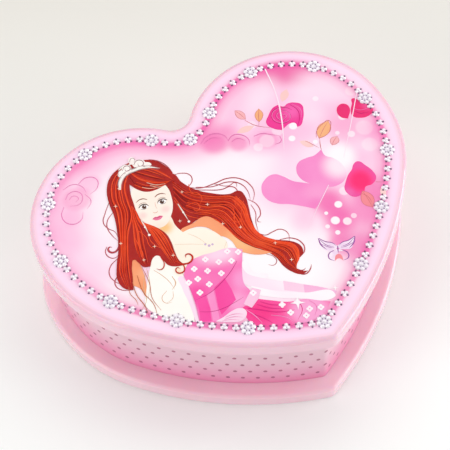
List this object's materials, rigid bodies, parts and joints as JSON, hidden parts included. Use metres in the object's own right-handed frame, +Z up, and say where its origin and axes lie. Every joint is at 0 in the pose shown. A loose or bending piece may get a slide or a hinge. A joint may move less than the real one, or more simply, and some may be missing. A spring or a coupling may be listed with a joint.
{
  "type": "wind-up music box",
  "caption": "Heart-shaped wind-up music box: hinged picture lid with mirror, dotted wall, stepped base, lined jewel tray, folding figure and a wound movement.",
  "frame": {"origin": "middle of the base's bounding box, on the surface that the box stands on", "axes": "+Z up, +X to the right across the heart, -Y towards the heart's tip (the front), +Y towards the lobes and the hinge"},
  "size_m": [0.1724, 0.1416, 0.0556],
  "materials": {
    "pink_gloss": "moulded, polished, pale pink",
    "pink_satin": "moulded, satin pink",
    "wrap_paper": "printed band, pale pink with rose dots, satin laminate",
    "lid_print": "printed sheet under gloss laminate",
    "mirror_glass": "silvered acrylic",
    "flock": "thermoformed tray, pink flock all over",
    "flock_roll": "foam roll under pink flocked cloth",
    "cover_board": "fine grained, dusty pink",
    "bright_steel": "bright, zinc plated",
    "gold_plate": "gilt, polished",
    "brass": "turned and milled",
    "spring_steel": "blued spring steel",
    "comb_steel": "ground, satin",
    "cast_bed": "die-cast bed, grey plated",
    "white_nylon": "moulded nylon",
    "gown_pink": "painted figure, pink gown",
    "skin_paint": "painted figure, skin"
  },
  "bodies": {
    "box": {"base_plinth": "pink_gloss", "bottom_cover": "cover_board", "cover_screws": "bright_steel", "box_shell": "pink_satin", "side_wrap": "wrap_paper", "hinge_pin_left": "gold_plate", "hinge_pin_right": "gold_plate", "jewel_tray": "flock", "ring_roll_1": "flock_roll", "ring_roll_2": "flock_roll", "ring_roll_3": "flock_roll", "stage_mirror": "mirror_glass", "click_spring": "spring_steel", "bedplate": "cast_bed", "front_bearing": "bright_steel", "end_plate": "bright_steel", "comb": "comb_steel", "comb_screws": "bright_steel", "governor_bridge": "bright_steel", "movement_screws": "bright_steel", "stop_guide": "bright_steel", "stop_spring": "spring_steel"},
    "lid": {"lid_shell": "pink_gloss", "lid_picture": "lid_print", "lid_liner": "pink_satin", "lid_mirror": "mirror_glass"},
    "winder": {"winding_key": "gold_plate", "winding_arbor": "bright_steel"},
    "barrel": {"spring_barrel": "brass", "barrel_cap": "brass", "mainspring": "spring_steel", "turntable": "white_nylon", "fold_pin": "bright_steel"},
    "figure": {"dancer_leg": "skin_paint", "dancer_gown": "gown_pink", "dancer_head": "skin_paint", "dancer_arms": "skin_paint"},
    "cylinder": {"pinned_cylinder": "brass", "cylinder_shaft": "bright_steel", "drive_pinion": "white_nylon", "cylinder_wheel": "white_nylon"},
    "train": {"train_shaft": "bright_steel", "train_pinion": "white_nylon", "worm_wheel": "white_nylon"},
    "governor": {"governor_worm": "bright_steel", "governor_fan": "white_nylon"},
    "plunger": {"stop_plunger": "white_nylon"}
  },
  "joints": [
    {"name": "lid_hinge", "type": "hinge", "parent": "box", "child": "lid", "pos_m": [0, 0.06597, 0.045], "axis": [-1, 0, 0], "range_deg": [0, 100]},
    {"name": "key_wind", "type": "hinge", "parent": "box", "child": "winder", "pos_m": [0, 0.011, 0.005], "axis": [0, 0, 1], "continuous": true},
    {"name": "barrel_spin", "type": "hinge", "parent": "box", "child": "barrel", "pos_m": [0, 0.011, 0.02], "axis": [0, 0, 1], "continuous": true},
    {"name": "figure_fold", "type": "hinge", "parent": "barrel", "child": "figure", "pos_m": [0, 0.011, 0.0402], "axis": [-1, 0, 0], "range_deg": [0, 90]},
    {"name": "cylinder_spin", "type": "hinge", "parent": "box", "child": "cylinder", "pos_m": [0, -0.015, 0.0207], "axis": [0, 1, 0], "continuous": true},
    {"name": "train_spin", "type": "hinge", "parent": "box", "child": "train", "pos_m": [-0.0096, -0.026, 0.0207], "axis": [0, 1, 0], "continuous": true},
    {"name": "governor_spin", "type": "hinge", "parent": "box", "child": "governor", "pos_m": [-0.0171, -0.02866, 0.0207], "axis": [0, 0, 1], "continuous": true},
    {"name": "stop_slide", "type": "slide", "parent": "box", "child": "plunger", "axis": [0, 0, 1], "range_m": [0, 0.003], "deforming": ["stop_spring"]}
  ],
  "couplings": [
    {"joint": "figure_fold", "follows": "lid_hinge", "ratio": 0.9},
    {"joint": "stop_slide", "follows": "lid_hinge", "m_per_rad": 0.0017188},
    {"joint": "cylinder_spin", "follows": "barrel_spin", "ratio": -3},
    {"joint": "train_spin", "follows": "barrel_spin", "ratio": 9},
    {"joint": "governor_spin", "follows": "barrel_spin", "ratio": -180}
  ]
}
